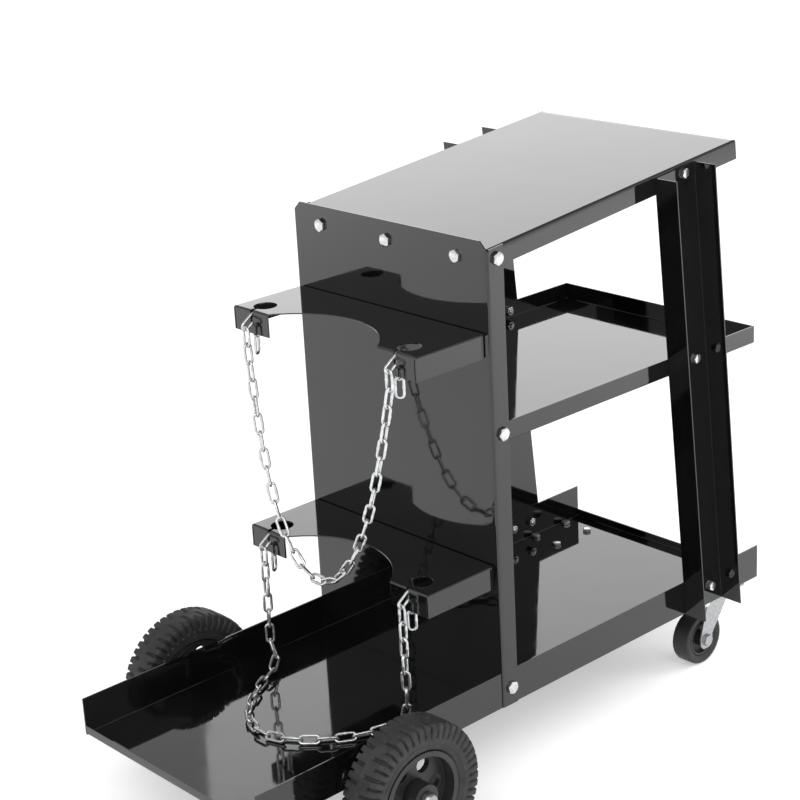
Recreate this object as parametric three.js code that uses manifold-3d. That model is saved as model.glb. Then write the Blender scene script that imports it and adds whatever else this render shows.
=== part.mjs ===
// Welding cart: a base tray on two wheels and two swivel casters, a back panel and two uprights that
// carry a mid tray and a tilted top shelf, and two cylinder brackets with safety chains.
// Millimetres, +Z up, +X to the cart's right, +Y from the cylinder side to the front.
// Y starts at the back panel's rear face, and the whole cart is centred at the end.

import * as THREE from 'three';
import { mergeVertices } from 'three/addons/utils/BufferGeometryUtils.js';
import Module from 'manifold-3d';

const wasm = await Module();
wasm.setup();

// Folded sheet steel
const SHEET = 1.5; // thickness of the folded sheets
const BEND = 1; // inside radius of a fold
const BEND_STEPS = 3;
const FIT = 0.2; // gap between faces that are clamped together
const RUNNING = 0.3; // gap round a shaft, a bolt or a chain link
const SEAM = 0.4; // open seam between a lip and the wall beside it
const LIP_RUN = 8; // floor strip that each lip is folded from

// Rear wheels and axle
const WHEEL_DIAMETER = 160;
const WHEEL_TRACK = 372; // between the tyres' mid planes
const TYRE_WIDTH = 42;
const TYRE_WALL = 30; // tread to rim
const TYRE_SHOULDER = 9;
const TYRE_BULGE = 13.5; // widest place below the tread
const TYRE_BEAD_INSET = 4.2; // bead in from the widest place
const RIM_WIDTH = 37;
const RIM_WALL = 6;
const WHEEL_WEB = 7;
const WEB_HOLES = 6;
const WEB_HOLE_DIAMETER = 17;
const HUB_DIAMETER = 32;
const HUB_OVERHANG = 2.5; // hub end beyond the tyre's outer side
const AXLE_DIAMETER = 12;
const AXLE_Y = -172;
const AXLE_HEADROOM = 4; // axle to the underside of the base floor
const AXLE_STUB = 6; // axle end inside its cap
const CAP_WALL = 3;
const CAP_SKIRT = 5.1; // straight part of a cap
const CAP_CROWN = { radius: 7, height: 8.4 }; // where the cap's end starts to flatten
const AXLE_BRACKET_SHEET = 2.5;
const AXLE_BRACKET_LENGTH = 52;
const AXLE_BRACKET_LEG = 34;
const AXLE_BRACKET_DROP = 13; // below the axle's centre

// Base tray
const TIER_WIDTH = 296.6; // across the outside of all tray walls
const BASE_REAR = -340;
const BASE_FRONT = 447;
const BASE_WALL = 43;
const BASE_LIP = 11;

// Heights above the base floor
const MID_RISE = 305;
const LOWER_BRACKET_RISE = 167.6;
const UPPER_BRACKET_RISE = 425.2;
const TOP_RISE = 512.7; // top shelf's surface at the back panel
const PANEL_RISE = 521.1;

// Mid tray and top shelf
const MID_FRONT = 436;
const MID_LIP = 21.5;
const TOP_DEPTH = 400;
const TOP_FLANGE = 21.8;
const TOP_TILT = 5.7; // degrees, front edge up
const TOP_REAR_FLANGE = 30;

// Back panel
const PANEL_FLANGE = 23;
const PANEL_CHAMFER = 10.6;
const PANEL_TO_SHELF = 0.1; // flange top below the shelf's surface

// Uprights: channels that open outwards
const UPRIGHT_WIDTH = 67;
const UPRIGHT_DEPTH = 30;
const UPRIGHT_LEAN = 5.4; // degrees, top towards the back panel
const UPRIGHT_FRONT = 373; // front edge at the top of the base wall
const UPRIGHT_TO_SHELF = 3; // top end below the shelf's surface

// Cylinder brackets
const BRACKET_WIDTH = 288;
const BRACKET_DEPTH = 97.7;
const BRACKET_HEIGHT = 26.4;
const BRACKET_WEB = 51; // plate left between the panel and the cut-out
const CUTOUT_RADIUS = 105;
const KEYHOLE_EDGE = 30.3; // hole centre from the bracket's side
const KEYHOLE_INSET = 19.8; // hole centre from the bracket's rear edge
const KEYHOLE_DIAMETER = 26;
const SLOT_WIDTH = 4.2;
const SIDE_RELIEF = 6.5; // side flange ends short of the panel
const CORNER_SEAM = 1; // open seam between the rear flange and a side flange

// Chains
const CHAIN_WIRE = 3;
const LINK_LENGTH = 19; // inside, which is the pitch
const LINK_WIDTH = 5.5; // inside
const LINK_STEPS = 8;
const WIRE_SIDES = 4;
const LINK_BITE = 0.25; // each link sinks this far into the next one
const HANGING_LINKS = 29; // between the two hinge links
const CHAIN_SWING = 4; // degrees that the hanging chain leans away from the panel
const END_SLANT = 34; // degrees below level of the link in the slot
const END_DROP = 9.2; // where that link's middle line passes the flange, below the bracket's top
const END_REACH = 5; // that link's centre outside the flange, along the link
const TAIL_SETBACK = 3; // tail links' mid plane behind the rear flange
const TAIL_TURN = { left: 27, right: -45 }; // degrees that the last tail link is turned
const FLOOR_TURN = 26; // height at which the lower chain starts to turn on to the floor
const FLOOR_TOUCH = 8; // the turn's last point from the strand and from the floor
const FLOOR_SLACK = 4; // links more than the shortest way along the floor
const FLOOR_POINTS = 9; // route points across the floor
const FLOOR_FULLNESS = 0.7; // below 1 is squarer than a half wave
const TWIST_SHARE = 1 / 6; // share of the lower chain in which it twists on to its edges
const ROUTE_STEPS = 1200;
const HALVINGS = 60; // steps in which a chain's sag or bulge is found

// Bolts and nuts: shank diameter, across flats, head and nut heights, thread end past the nut
const M8 = { shank: 8, flats: 13, head: 4, nut: 6.5, end: 2.5 };
const M6 = { shank: 6, flats: 10, head: 4, nut: 5, end: 2 };
const BOLT_SIDES = 8;
const PANEL_BOLT_X = 105;
const PANEL_BOLT_DROP = 21.2; // below the panel's top
const SIDE_BOLT_Y = 13.5;
const SIDE_BOLT_DROP = 12; // below the top shelf's surface
const BASE_BOLT_RISE = 21;
const UPRIGHT_FRONT_ROW = 20; // bolts behind the upright's front edge
const UPRIGHT_REAR_ROW = 14; // bolts before its rear edge
const BRACKET_BOLT_X = 60;
const BRACKET_BOLT_DROP = 14;

// Front casters
const CASTER_X = 121;
const CASTER_SETBACK = 61; // king pin from the base tray's front end
const CASTER_BOLTS = { x: 37, y: 58 };
const CASTER_PLATE = { x: 51, y: 78, thickness: 2.5 };
const CASTER_WHEEL_DIAMETER = 65;
const CASTER_WHEEL_WIDTH = 24;
const CASTER_TYRE_WALL = 10;
const CASTER_SHOULDER = 3;
const CASTER_BULGE = 4.5;
const CASTER_BEAD_INSET = 2.4;
const CASTER_RIM_WIDTH = 19;
const CASTER_RIM_WALL = 3.3;
const CASTER_WEB = 8;
const CASTER_BOSS_WALL = 5.5;
const CASTER_TRAIL = 22; // wheel axle behind the king pin
const CASTER_SIDE_GAP = 1.5; // tyre to fork leg
const FORK_SHEET = 2.5;
const FORK_HEAD = 38; // length of the fork's top
const FORK_EYE = 11; // radius round the wheel bolt
const RACE_DIAMETER = 33;
const RACE_HEIGHT = 5.5;
const KING_PIN_DIAMETER = 10;
const KING_PIN_HEAD = { diameter: 17, height: 3 };

const HEXAGON = 6;
const ROUND_STEPS = 20;
const WINDOW_STEPS = 16;
const TYRE_STEPS = 32;
const SHOULDER_STEPS = 2;
const CUT_STEPS = 56;
const WELD = 1e-3; // vertices closer than this are one vertex
const OVERCUT = 1; // cutters reach this far past what they cut

// Sizes that follow from the ones above
const AXLE_Z = WHEEL_DIAMETER / 2;
const FLOOR_UNDER = AXLE_Z + AXLE_DIAMETER / 2 + AXLE_HEADROOM;
const FLOOR_Z = FLOOR_UNDER + SHEET;
const MID_Z = FLOOR_Z + MID_RISE;
const TOP_Z = FLOOR_Z + TOP_RISE;
const PANEL_TOP = FLOOR_Z + PANEL_RISE;
const TIER_HALF = TIER_WIDTH / 2;
const PANEL_HALF = TIER_HALF + FIT + SHEET;
const FOLD = BEND + SHEET; // outside radius of a fold
const BASE_WALL_TOP = FLOOR_UNDER + BASE_WALL;
const SHELF_SLOPE = Math.tan(THREE.MathUtils.degToRad(TOP_TILT));
const UPRIGHT_SLOPE = Math.tan(THREE.MathUtils.degToRad(UPRIGHT_LEAN));
const UPRIGHT_RUN = UPRIGHT_WIDTH / Math.cos(THREE.MathUtils.degToRad(UPRIGHT_LEAN));
const LINK_BOW = (LINK_WIDTH + CHAIN_WIRE) / 2; // radius of the wire's centre line at a link's ends
const LINK_STRAIGHT = (LINK_LENGTH - LINK_WIDTH) / 2;
const LINK_PITCH = LINK_LENGTH + LINK_BITE;
const SLANT = THREE.MathUtils.degToRad(END_SLANT);
const SLANTED_LINK = (LINK_BOW + CHAIN_WIRE / 2) / Math.cos(SLANT); // half its height, cut upright
const SLOT_DEPTH = END_DROP + SLANTED_LINK + (SHEET / 2) * Math.tan(SLANT) + RUNNING;
const KEYHOLE_X = BRACKET_WIDTH / 2 - KEYHOLE_EDGE;
const CASTER_Y = BASE_FRONT - CASTER_SETBACK;
const CASTER_TOP = FLOOR_UNDER - FIT;
const CASTER_WHEEL_Z = CASTER_WHEEL_DIAMETER / 2;

const X_AXIS = new THREE.Vector3(1, 0, 0);
const Y_AXIS = new THREE.Vector3(0, 1, 0);
const Z_AXIS = new THREE.Vector3(0, 0, 1);
const SIDES = [['left', -1], ['right', 1]];

const cart = new THREE.Group();

// Finishes
const FINISH = {
  paint: { color: 0x141414, roughness: 0.12, metalness: 0.0 },
  zinc: { color: 0xc9ccd0, roughness: 0.28, metalness: 1.0 },
  rubber: { color: 0x1b1b1b, roughness: 0.85, metalness: 0.0 },
  plastic: { color: 0x161616, roughness: 0.5, metalness: 0.0 },
};

// Solids

function solidOf(geometry) {
  const bare = geometry.clone();
  bare.deleteAttribute('normal');
  bare.deleteAttribute('uv');
  const merged = mergeVertices(bare, WELD);
  const index = merged.index.array;
  const kept = [];
  for (let i = 0; i < index.length; i += 3) {
    const [a, b, c] = index.slice(i, i + 3);
    if (a !== b && b !== c && c !== a) kept.push(a, b, c);
  }
  return new wasm.Manifold(new wasm.Mesh({
    numProp: 3,
    vertProperties: merged.attributes.position.array,
    triVerts: new Uint32Array(kept),
  }));
}

function geometryOf(solid) {
  const { vertProperties, triVerts } = solid.getMesh();
  const geometry = new THREE.BufferGeometry();
  geometry.setAttribute('position', new THREE.BufferAttribute(vertProperties, 3));
  geometry.setIndex(new THREE.BufferAttribute(triVerts, 1));
  return geometry;
}

function add(name, solid, finish) {
  const geometry = geometryOf(solid).toNonIndexed();
  geometry.computeVertexNormals();
  const mesh = new THREE.Mesh(geometry, new THREE.MeshStandardMaterial(FINISH[finish]));
  mesh.name = name;
  cart.add(mesh);
}

function moved(solid, matrix) {
  return solidOf(geometryOf(solid).applyMatrix4(matrix));
}

function box([x0, x1], [y0, y1], [z0, z1]) {
  const geometry = new THREE.BoxGeometry(Math.abs(x1 - x0), Math.abs(y1 - y0), Math.abs(z1 - z0));
  return solidOf(geometry.translate((x0 + x1) / 2, (y0 + y1) / 2, (z0 + z1) / 2));
}

function extruded(outline, depth) {
  const shape = new THREE.Shape(outline.map(([u, v]) => new THREE.Vector2(u, v)));
  return new THREE.ExtrudeGeometry(shape, { depth, bevelEnabled: false, steps: 1 });
}

// A prism along X whose outline holds Y and Z.
function prismX(outline, from, to) {
  const turn = new THREE.Matrix4().makeBasis(Y_AXIS, Z_AXIS, X_AXIS);
  const start = Math.min(from, to);
  return solidOf(extruded(outline, Math.abs(to - from)).applyMatrix4(turn).translate(start, 0, 0));
}

// A prism along Y whose outline holds X and Z.
function prismY(outline, from, to) {
  const turn = new THREE.Matrix4().makeBasis(X_AXIS, Z_AXIS, Y_AXIS.clone().negate());
  const start = Math.max(from, to);
  return solidOf(extruded(outline, Math.abs(to - from)).applyMatrix4(turn).translate(0, start, 0));
}

function prismZ(outline, from, to) {
  return solidOf(extruded(outline, to - from).translate(0, 0, from));
}

// A round bar between two points, or one with few sides, turned about itself.
function bar(from, to, radius, steps = ROUND_STEPS, twist = 0) {
  const along = to.clone().sub(from);
  const geometry = new THREE.CylinderGeometry(radius, radius, along.length(), steps).rotateY(twist);
  const turn = new THREE.Quaternion().setFromUnitVectors(Y_AXIS, along.clone().normalize());
  const middle = from.clone().addScaledVector(along, 0.5);
  return solidOf(geometry.applyQuaternion(turn).translate(middle.x, middle.y, middle.z));
}

// A body of revolution about an axis along X: the profile holds [radius, x] pairs.
function turnedX(profile, x, y, z, steps) {
  const geometry = new THREE.LatheGeometry(profile.map(([r, u]) => new THREE.Vector2(r, u)), steps);
  return solidOf(geometry.rotateZ(-Math.PI / 2).translate(x, y, z));
}

function joined(solids) {
  return solids.reduce((sum, solid) => sum.add(solid));
}

// Rounds the corners that are given as [u, v, radius].
function rounded(corners, steps = BEND_STEPS) {
  const at = (i) => new THREE.Vector2(...corners[(i + corners.length) % corners.length].slice(0, 2));
  return corners.flatMap(([u, v, radius], i) => {
    if (!radius) return [[u, v]];
    const here = at(i);
    const back = at(i - 1).sub(here).normalize();
    const ahead = at(i + 1).sub(here).normalize();
    const half = Math.acos(back.dot(ahead)) / 2;
    const inward = back.clone().add(ahead).normalize();
    const centre = here.clone().addScaledVector(inward, radius / Math.sin(half));
    const start = here.clone().addScaledVector(back, radius / Math.tan(half)).sub(centre);
    const sweep = Math.sign(ahead.cross(back)) * (Math.PI - 2 * half);
    return Array.from({ length: steps + 1 }, (_, k) => {
      const point = start.clone().rotateAround(new THREE.Vector2(), (sweep * k) / steps).add(centre);
      return [point.x, point.y];
    });
  });
}

// A folded channel: the web lies on v = 0 and both walls rise to the given height.
function channel(half, height, sheet = SHEET) {
  const fold = BEND + sheet;
  return rounded([
    [-half, height], [-half, 0, fold], [half, 0, fold], [half, height], [half - sheet, height],
    [half - sheet, sheet, BEND], [sheet - half, sheet, BEND], [sheet - half, height],
  ]);
}

// A folded lip at u = end, on a floor strip that runs back from it.
function lip(end, outward, height) {
  const outline = [
    [-LIP_RUN - OVERCUT, 0], [0, 0, FOLD], [0, height],
    [-SHEET, height], [-SHEET, SHEET, BEND], [-LIP_RUN - OVERCUT, SHEET],
  ];
  return rounded(outline.map(([u, v, r]) => [end + outward * u, v, r]));
}

// A folded tray whose floor has its underside on Z = 0. A lip of no height leaves a plain end.
function tray(rear, front, wall, rearLip, frontLip) {
  let body = prismY(channel(TIER_HALF, wall), rear, front);
  const across = TIER_HALF - FOLD;
  for (const [end, outward, height] of [[front, 1, frontLip], [rear, -1, rearLip]]) {
    if (!height) continue;
    const root = end - outward * LIP_RUN;
    body = body.subtract(box([-across, across], [root, end + outward * OVERCUT], [-OVERCUT, FOLD]));
    body = body.add(prismX(lip(end, outward, height), SEAM - across, across - SEAM));
    for (const [, sign] of SIDES) {
      const seam = [sign * (across - SEAM - OVERCUT), sign * (TIER_HALF - SHEET - SEAM)];
      body = body.add(box(seam, [end - outward * SHEET, end], [FOLD, height]));
    }
  }
  return body;
}

// Fasteners

const fasteners = [];

// A bolt whose head seats at a point, with its nut past the grip in the given direction.
function bolt(name, size, seat, direction, grip) {
  fasteners.push({ name, size, seat, direction, grip });
}

function alongBolt({ seat, direction }, distance) {
  return seat.clone().addScaledVector(direction, distance);
}

// A hexagon between two distances along a bolt, with a flat side up.
function hexagon(fastener, near, far) {
  const halfSide = Math.PI / HEXAGON;
  const radius = fastener.size.flats / 2 / Math.cos(halfSide);
  return bar(alongBolt(fastener, near), alongBolt(fastener, far), radius, HEXAGON, halfSide);
}

function boltSolid(fastener) {
  const { size, grip } = fastener;
  const nutSeat = grip + FIT;
  const shankEnd = alongBolt(fastener, nutSeat + size.nut + size.end);
  return joined([
    hexagon(fastener, -FIT, -FIT - size.head),
    bar(alongBolt(fastener, -FIT - size.head / 2), shankEnd, size.shank / 2, BOLT_SIDES),
    hexagon(fastener, nutSeat, nutSeat + size.nut),
  ]);
}

function boltHoles() {
  return joined(fasteners.map((f) => {
    const radius = (f.size.shank / 2 + RUNNING) / Math.cos(Math.PI / BOLT_SIDES);
    return bar(alongBolt(f, -FIT), alongBolt(f, f.grip + FIT), radius, BOLT_SIDES);
  }));
}

// Where the uprights stand

function uprightFront(z) {
  return UPRIGHT_FRONT + (BASE_WALL_TOP - z) * UPRIGHT_SLOPE;
}

function shelfTop(y) {
  return TOP_Z + y * SHELF_SLOPE;
}

// Height at which a line along the upright, this far behind its front edge, is a depth under the shelf.
function underShelf(behind, depth) {
  const y = uprightFront(TOP_Z - depth) - behind;
  return (TOP_Z - depth + SHELF_SLOPE * (y + (TOP_Z - depth) * UPRIGHT_SLOPE))
    / (1 + SHELF_SLOPE * UPRIGHT_SLOPE);
}

// All the bolts

const twoSheets = 2 * SHEET + FIT;

[['left', -PANEL_BOLT_X], ['middle', 0], ['right', PANEL_BOLT_X]].forEach(([place, x]) => {
  const seat = new THREE.Vector3(x, 0, PANEL_TOP - PANEL_BOLT_DROP);
  bolt(`panel_bolt_${place}`, M8, seat, Y_AXIS, twoSheets);
});

for (const [side, sign] of SIDES) {
  const inward = X_AXIS.clone().multiplyScalar(-sign);
  const onPanel = (z) => new THREE.Vector3(sign * PANEL_HALF, SIDE_BOLT_Y, z);
  bolt(`${side}_top_bolt`, M8, onPanel(shelfTop(SIDE_BOLT_Y) - SIDE_BOLT_DROP), inward, twoSheets);
  bolt(`${side}_mid_bolt`, M8, onPanel(MID_Z - SHEET + MID_LIP / 2), inward, twoSheets);
  bolt(`${side}_base_bolt`, M8, onPanel(FLOOR_Z + BASE_BOLT_RISE), inward, twoSheets);

  const onUpright = (behind, z) => (
    new THREE.Vector3(sign * PANEL_HALF, uprightFront(z) - behind, z)
  );
  const rearRow = UPRIGHT_RUN - UPRIGHT_REAR_ROW;
  const topRow = underShelf(UPRIGHT_FRONT_ROW, TOP_FLANGE / 2);
  const midRow = MID_Z - SHEET + MID_LIP / 2;
  const baseRow = FLOOR_Z + BASE_BOLT_RISE;
  bolt(`${side}_upright_top_bolt`, M6, onUpright(UPRIGHT_FRONT_ROW, topRow), inward, twoSheets);
  bolt(`${side}_upright_mid_bolt`, M6, onUpright(UPRIGHT_FRONT_ROW, midRow), inward, twoSheets);
  bolt(`${side}_upright_base_bolt_front`, M6, onUpright(UPRIGHT_FRONT_ROW, baseRow), inward, twoSheets);
  bolt(`${side}_upright_base_bolt_rear`, M6, onUpright(rearRow, baseRow), inward, twoSheets);

  for (const [level, rise] of [['upper', UPPER_BRACKET_RISE], ['lower', LOWER_BRACKET_RISE]]) {
    const z = FLOOR_Z + rise - BRACKET_BOLT_DROP;
    const seat = new THREE.Vector3(sign * BRACKET_BOLT_X, -FIT - SHEET, z);
    bolt(`${level}_bracket_bolt_${side}`, M6, seat, Y_AXIS, twoSheets);
  }

  const downward = Z_AXIS.clone().negate();
  const casterGrip = SHEET + FIT + CASTER_PLATE.thickness;
  for (const [row, dy] of [['rear', -CASTER_BOLTS.y / 2], ['front', CASTER_BOLTS.y / 2]]) {
    for (const [column, dx] of [['inner', -sign], ['outer', sign]]) {
      const x = sign * CASTER_X + (dx * CASTER_BOLTS.x) / 2;
      const seat = new THREE.Vector3(x, CASTER_Y + dy, FLOOR_Z);
      bolt(`${side}_caster_bolt_${row}_${column}`, M6, seat, downward, casterGrip);
    }
  }
}

const holes = boltHoles();
fasteners.forEach((fastener) => add(fastener.name, boltSolid(fastener), 'zinc'));

// Base tray and mid tray

function lifted(solid, z) {
  return moved(solid, new THREE.Matrix4().makeTranslation(0, 0, z));
}

const baseTray = lifted(tray(BASE_REAR, BASE_FRONT, BASE_WALL, BASE_LIP, BASE_LIP), FLOOR_UNDER);
add('base_tray', baseTray.subtract(holes), 'paint');

const midRear = FOLD + FIT; // clear of the panel's fold
const midTray = lifted(tray(midRear, MID_FRONT, MID_LIP, MID_LIP, MID_LIP), MID_Z - SHEET);
add('mid_tray', midTray.subtract(holes), 'paint');

// Top shelf: a tray turned over and tilted, with its rear flange against the panel

function topShelf() {
  const rear = SHEET + FIT;
  const place = new THREE.Matrix4().makeTranslation(0, 0, TOP_Z)
    .multiply(new THREE.Matrix4().makeRotationX(THREE.MathUtils.degToRad(TOP_TILT)))
    .multiply(new THREE.Matrix4().makeRotationY(Math.PI));
  const plate = moved(tray(0, TOP_DEPTH, TOP_FLANGE, 0, TOP_FLANGE), place);
  const flangeTop = shelfTop(rear) - SHEET / 2;
  const flange = box(
    [FOLD - TIER_HALF, TIER_HALF - FOLD],
    [rear, rear + SHEET],
    [PANEL_TOP - TOP_REAR_FLANGE - PANEL_RISE + TOP_RISE, flangeTop],
  );
  const behind = box([-PANEL_HALF, PANEL_HALF], [-BASE_FRONT, rear], [0, 2 * PANEL_TOP]);
  const folds = SIDES.map(([, sign]) => (
    box([sign * (TIER_HALF - FOLD), sign * PANEL_HALF], [-BASE_FRONT, FOLD + FIT], [0, 2 * PANEL_TOP])
  ));
  return plate.add(flange).subtract(joined([behind, ...folds]));
}
add('top_shelf', topShelf().subtract(holes), 'paint');

// Back panel: its flanges stand outside the trays, its face between the base walls

function backPanel() {
  let body = prismZ(channel(PANEL_HALF, PANEL_FLANGE), FLOOR_Z + FIT, PANEL_TOP);
  const flangeTop = (y) => shelfTop(y) - PANEL_TO_SHELF;
  const past = PANEL_FLANGE + OVERCUT;
  body = body.subtract(prismX([
    [SHEET, flangeTop(SHEET)], [past, flangeTop(past)], [past, PANEL_TOP + past], [SHEET, PANEL_TOP + past],
  ], -PANEL_HALF - OVERCUT, PANEL_HALF + OVERCUT));
  for (const [, sign] of SIDES) {
    const corner = sign * (PANEL_HALF + OVERCUT);
    const inner = sign * (PANEL_HALF - PANEL_CHAMFER);
    const top = PANEL_TOP + OVERCUT;
    body = body.subtract(prismY([
      [corner, PANEL_TOP - PANEL_CHAMFER - OVERCUT], [corner, top], [inner - sign * OVERCUT, top],
    ], -OVERCUT, SHEET + OVERCUT));
    const wallGap = [sign * (TIER_HALF - FOLD - FIT), sign * (TIER_HALF + FIT)];
    const depth = [-OVERCUT, FOLD + OVERCUT];
    body = body.subtract(box(wallGap, depth, [FLOOR_Z - OVERCUT, BASE_WALL_TOP + FIT]));
  }
  return body;
}
add('back_panel', backPanel().subtract(holes), 'paint');

// Uprights

function uprightOutline(inset, topInset, bottom) {
  const front = (z) => uprightFront(z) - inset;
  const rear = (z) => uprightFront(z) - UPRIGHT_RUN + inset;
  const frontTop = underShelf(inset, topInset);
  const rearTop = underShelf(UPRIGHT_RUN - inset, topInset);
  return [
    [front(bottom), bottom], [front(frontTop), frontTop],
    [rear(rearTop), rearTop], [rear(bottom), bottom],
  ];
}

function upright(sign) {
  const inner = TIER_HALF + FIT;
  const outer = inner + UPRIGHT_DEPTH;
  const whole = uprightOutline(0, UPRIGHT_TO_SHELF, FLOOR_UNDER);
  const trough = uprightOutline(SHEET, -OVERCUT, FLOOR_UNDER - OVERCUT);
  return prismX(whole, sign * inner, sign * outer)
    .subtract(prismX(trough, sign * (inner + SHEET), sign * (outer + OVERCUT)));
}
SIDES.forEach(([side, sign]) => add(`${side}_upright`, upright(sign).subtract(holes), 'paint'));

// Cylinder brackets

function bracketBlock(inset, fold, top, bottom) {
  const half = BRACKET_WIDTH / 2 - inset;
  const rear = -BRACKET_DEPTH + inset;
  const front = -FIT - inset;
  const across = rounded([[-half, bottom], [half, bottom], [half, top, fold], [-half, top, fold]]);
  const along = rounded([[rear, bottom], [front, bottom], [front, top, fold], [rear, top, fold]]);
  return prismY(across, rear, front).intersect(prismX(along, -half, half));
}

function bracket(top) {
  const bottom = top - BRACKET_HEIGHT;
  const cutY = -BRACKET_WEB - CUTOUT_RADIUS;
  const through = (x, y, radius, steps) => bar(
    new THREE.Vector3(x, y, bottom - OVERCUT), new THREE.Vector3(x, y, top + OVERCUT), radius, steps,
  );
  let body = bracketBlock(0, FOLD, top, bottom)
    .subtract(bracketBlock(SHEET, BEND, top - SHEET, bottom - OVERCUT))
    .subtract(through(0, cutY, CUTOUT_RADIUS, CUT_STEPS));
  for (const [, sign] of SIDES) {
    const x = sign * KEYHOLE_X;
    const holeY = -BRACKET_DEPTH + KEYHOLE_INSET;
    const side = sign * (BRACKET_WIDTH / 2);
    body = body
      .subtract(through(x, holeY, KEYHOLE_DIAMETER / 2, ROUND_STEPS))
      .subtract(box(
        [x - SLOT_WIDTH / 2, x + SLOT_WIDTH / 2],
        [-BRACKET_DEPTH - OVERCUT, holeY],
        [top - SLOT_DEPTH, top + OVERCUT],
      ))
      .subtract(box(
        [side - sign * FOLD, side + sign * OVERCUT],
        [-SIDE_RELIEF, OVERCUT],
        [bottom - OVERCUT, top - FOLD],
      ))
      .subtract(box(
        [side - sign * (SHEET + CORNER_SEAM), side - sign * SHEET],
        [-BRACKET_DEPTH - OVERCUT, -BRACKET_DEPTH + SHEET + OVERCUT],
        [bottom - OVERCUT, top - FOLD],
      ));
  }
  return body;
}

add('upper_cylinder_bracket', bracket(FLOOR_Z + UPPER_BRACKET_RISE).subtract(holes), 'paint');
add('lower_cylinder_bracket', bracket(FLOOR_Z + LOWER_BRACKET_RISE).subtract(holes), 'paint');

// Chains

// One link: a ring drawn out to its length along a direction, lying square to a normal.
function link(centre, along, normal) {
  const ring = new THREE.TorusGeometry(LINK_BOW, CHAIN_WIRE / 2, WIRE_SIDES, LINK_STEPS);
  const flatsOut = 1 / Math.cos(Math.PI / LINK_STEPS);
  ring.rotateZ(Math.PI / LINK_STEPS).scale(flatsOut, flatsOut, 1);
  const position = ring.attributes.position;
  for (let i = 0; i < position.count; i += 1) {
    const y = position.getY(i);
    position.setY(i, y + Math.sign(y) * LINK_STRAIGHT);
  }
  const across = along.clone().cross(normal).normalize();
  const face = across.clone().cross(along).normalize();
  const turn = new THREE.Matrix4().makeBasis(across, along, face).setPosition(centre);
  return solidOf(ring.applyMatrix4(turn));
}

// Links between successive points, each turned a quarter from the one before, plus a slow twist.
function links(points, normal, twist, firstQuarter) {
  return points.slice(1).map((end, i) => {
    const start = points[i];
    const along = end.clone().sub(start).normalize();
    const angle = ((i + firstQuarter) * Math.PI) / 2 + twist(i / (points.length - 2));
    return link(start.clone().lerp(end, 0.5), along, normal(along).applyAxisAngle(along, angle));
  });
}

// The links that stay with the bracket at one end: through the slot, two tail links, the hinge link.
function chainEnd([side, sign], top) {
  const x = sign * KEYHOLE_X;
  const tailNormal = X_AXIS.clone().applyAxisAngle(Z_AXIS, THREE.MathUtils.degToRad(TAIL_TURN[side]));
  const along = new THREE.Vector3(0, -Math.cos(SLANT), -Math.sin(SLANT));
  const down = Z_AXIS.clone().negate();
  const inSlot = new THREE.Vector3(x, -BRACKET_DEPTH + SHEET / 2, top - END_DROP)
    .addScaledVector(along, END_REACH);
  const tailY = -BRACKET_DEPTH + SHEET + TAIL_SETBACK;
  const wireBelow = new THREE.Vector3(0, Math.sin(SLANT), -Math.cos(SLANT)).multiplyScalar(LINK_BOW);
  const wireAtTail = inSlot.clone().add(wireBelow);
  wireAtTail.addScaledVector(along, (wireAtTail.y - tailY) / Math.cos(SLANT));
  const wireTop = CHAIN_WIRE / 2 / Math.cos(SLANT) - LINK_BITE;
  const tail = wireAtTail.clone().addScaledVector(down, LINK_LENGTH / 2 - wireTop);
  const lastTail = tail.clone().addScaledVector(down, LINK_PITCH);
  const bowToBow = LINK_LENGTH + CHAIN_WIRE;
  const hingeLink = inSlot.clone()
    .addScaledVector(along, LINK_STRAIGHT)
    .addScaledVector(down, (LINK_WIDTH - CHAIN_WIRE) / 2 + LINK_BITE + bowToBow / 2);
  const hinge = hingeLink.clone().addScaledVector(down, bowToBow / 2);
  const solid = joined([
    link(inSlot, along, X_AXIS),
    link(tail, down, Y_AXIS),
    link(lastTail, down, tailNormal),
    link(hingeLink, down, Y_AXIS),
  ]);
  return { solid, hinge };
}

// Start of the moving links: their first wire lies just inside the hinge link's bow.
function firstPoint(hinge) {
  return hinge.clone().setZ(hinge.z + CHAIN_WIRE / 2 + RUNNING + LINK_BITE / 2);
}

// The value up to a limit at which a test stops being true.
function halved(tooSmall, limit) {
  let [low, high] = [0, limit];
  for (let step = 0; step < HALVINGS; step += 1) {
    const middle = (low + high) / 2;
    if (tooSmall(middle)) low = middle;
    else high = middle;
  }
  return high;
}

// Points of a chain of equal links that hangs between two points at one level.
function hangingPoints(from, to, count) {
  const span = to.x - from.x;
  const slopes = (pull) => Array.from({ length: count }, (_, k) => (k - (count - 1) / 2) * pull);
  const reach = (pull) => slopes(pull).reduce((sum, s) => sum + LINK_PITCH / Math.hypot(1, s), 0);
  const pull = halved((value) => reach(value) > span, count);
  const points = [from.clone()];
  slopes(pull).forEach((slope) => {
    const move = new THREE.Vector3(1, 0, slope).setLength(LINK_PITCH);
    points.push(points.at(-1).clone().add(move));
  });
  return points;
}

// Swings points about a line along X.
function swung(points, hinge, degrees) {
  const angle = -THREE.MathUtils.degToRad(degrees);
  return points.map((p) => p.clone().sub(hinge).applyAxisAngle(X_AXIS, angle).add(hinge));
}

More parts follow.
